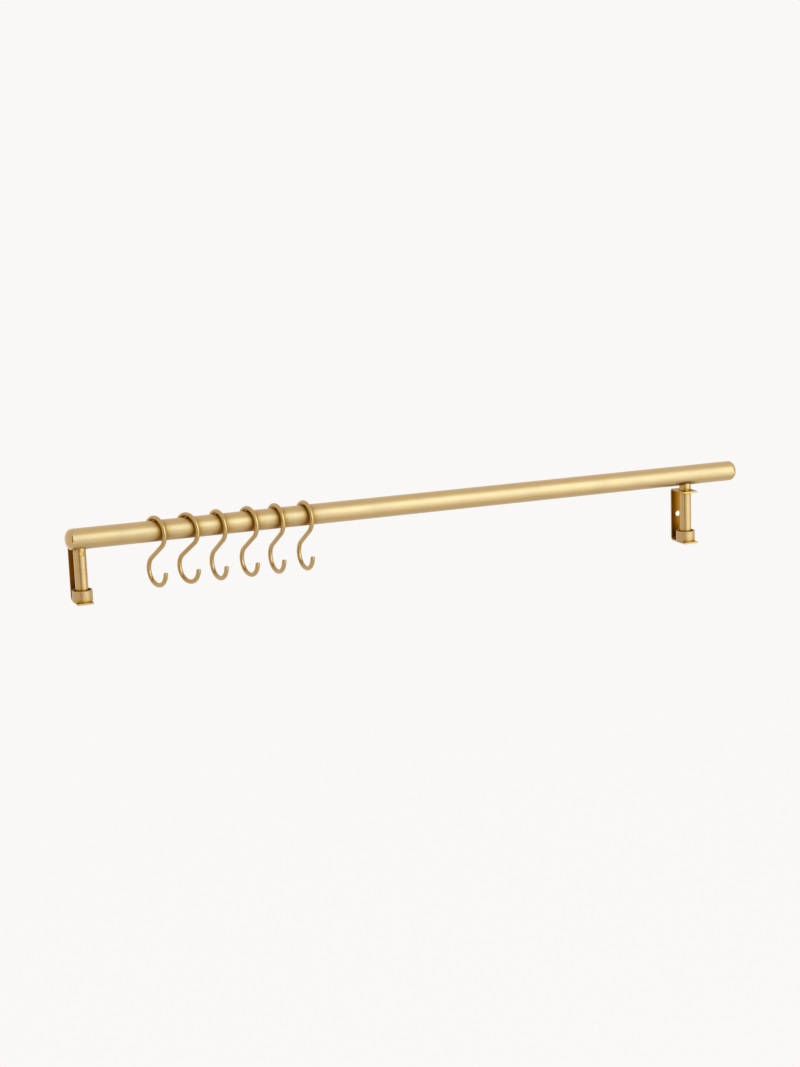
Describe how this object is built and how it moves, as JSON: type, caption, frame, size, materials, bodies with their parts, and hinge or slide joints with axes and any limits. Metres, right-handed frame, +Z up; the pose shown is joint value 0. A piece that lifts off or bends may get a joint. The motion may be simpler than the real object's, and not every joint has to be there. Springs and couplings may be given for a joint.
{
  "type": "wall coat rack",
  "caption": "Round brass rail with domed ends on two bent strip wall brackets, with open wire hooks that slide along it.",
  "frame": {"origin": "centre of the left bracket's screw hole, on the wall plane", "axes": "+X along the rail towards its longer overhang, +Y into the wall, +Z up"},
  "size_m": [0.7305, 0.0349, 0.0878],
  "materials": {
    "rail_brass": "satin, lacquered",
    "turned_brass": "satin",
    "strip_brass": "satin",
    "hook_brass": "dull satin, a little darker"
  },
  "bodies": {
    "rack": {"rail_tube": "rail_brass", "left_end_cap": "rail_brass", "right_end_cap": "rail_brass", "left_post": "turned_brass", "right_post": "turned_brass", "left_bracket": "strip_brass", "right_bracket": "strip_brass", "left_socket": "turned_brass", "right_socket": "turned_brass"},
    "hook_1_body": {"hook_1": "hook_brass"},
    "hook_2_body": {"hook_2": "hook_brass"},
    "hook_3_body": {"hook_3": "hook_brass"},
    "hook_4_body": {"hook_4": "hook_brass"},
    "hook_5_body": {"hook_5": "hook_brass"},
    "hook_6_body": {"hook_6": "hook_brass"}
  },
  "joints": [
    {"name": "hook_1_slide", "type": "slide", "parent": "rack", "child": "hook_1_body", "axis": [1, 0, 0], "range_m": [-0.059, 0.024]},
    {"name": "hook_2_slide", "type": "slide", "parent": "rack", "child": "hook_2_body", "axis": [1, 0, 0], "range_m": [-0.024, 0.0225]},
    {"name": "hook_3_slide", "type": "slide", "parent": "rack", "child": "hook_3_body", "axis": [1, 0, 0], "range_m": [-0.0225, 0.0235]},
    {"name": "hook_4_slide", "type": "slide", "parent": "rack", "child": "hook_4_body", "axis": [1, 0, 0], "range_m": [-0.0235, 0.0205]},
    {"name": "hook_5_slide", "type": "slide", "parent": "rack", "child": "hook_5_body", "axis": [1, 0, 0], "range_m": [-0.0205, 0.022]},
    {"name": "hook_6_slide", "type": "slide", "parent": "rack", "child": "hook_6_body", "axis": [1, 0, 0], "range_m": [-0.022, 0.4165]}
  ]
}
